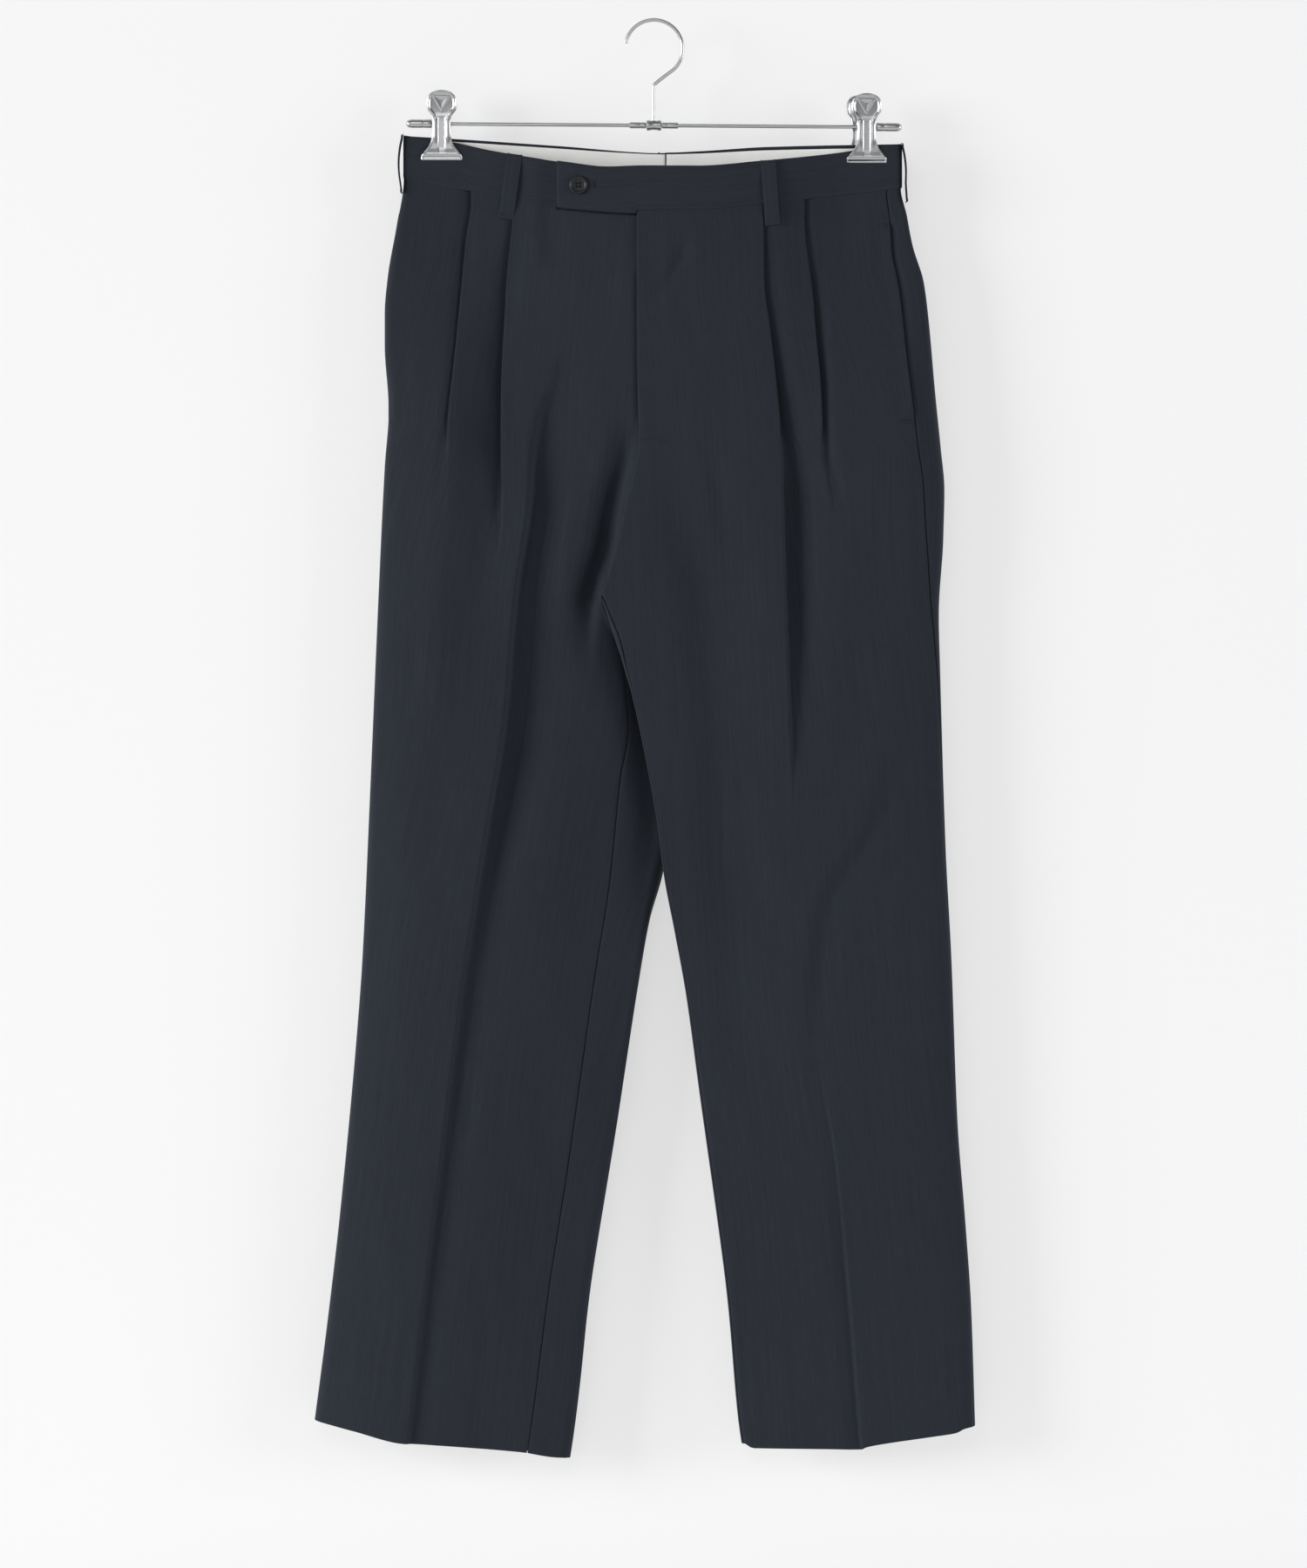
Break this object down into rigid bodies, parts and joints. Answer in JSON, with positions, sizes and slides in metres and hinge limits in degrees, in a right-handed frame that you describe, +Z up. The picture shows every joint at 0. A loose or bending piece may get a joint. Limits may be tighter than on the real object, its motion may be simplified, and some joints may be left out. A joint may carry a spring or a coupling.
{
  "type": "pleated dress trousers on clip hanger",
  "caption": "Dark navy wool dress trousers with forward pleats, belt loops and a buttoned tab, hung flat by the waistband from a metal clip hanger.",
  "frame": {"origin": "underside of the hook's bend, where the hanger rests on a rail or peg", "axes": "+Z up, the front of the trousers faces -Y, the wearer's left leg lies at +X"},
  "size_m": [0.5304, 0.0495, 1.1559],
  "materials": {
    "wool": "fine worsted twill, almost black navy, with a faint soft sheen",
    "curtain": "matte off-white lining cloth",
    "button": "dark grey resin with a soft gloss",
    "steel": "bright nickel-plated steel, lightly brushed"
  },
  "bodies": {
    "root": {"back_left": "wool", "back_right": "wool", "button": "button", "clip_back_left": "steel", "clip_back_right": "steel", "clip_barrel_left": "steel", "clip_barrel_right": "steel", "clip_front_left": "steel", "clip_front_right": "steel", "curtain_left": "curtain", "curtain_right": "curtain", "fly_shield": "wool", "front_left": "wool", "front_right": "wool", "hanger_bar": "steel", "hanger_cap_left": "steel", "hanger_cap_right": "steel", "hanger_hook": "steel", "hanger_knuckle": "steel", "hanger_sleeve_left": "steel", "hanger_sleeve_right": "steel", "loop_back": "wool", "loop_front_left": "wool", "loop_front_right": "wool", "loop_side_left": "wool", "loop_side_right": "wool", "pocket_facing_left": "wool", "pocket_facing_right": "wool", "waistband_left": "wool", "waistband_right": "wool"}
  },
  "joints": []
}
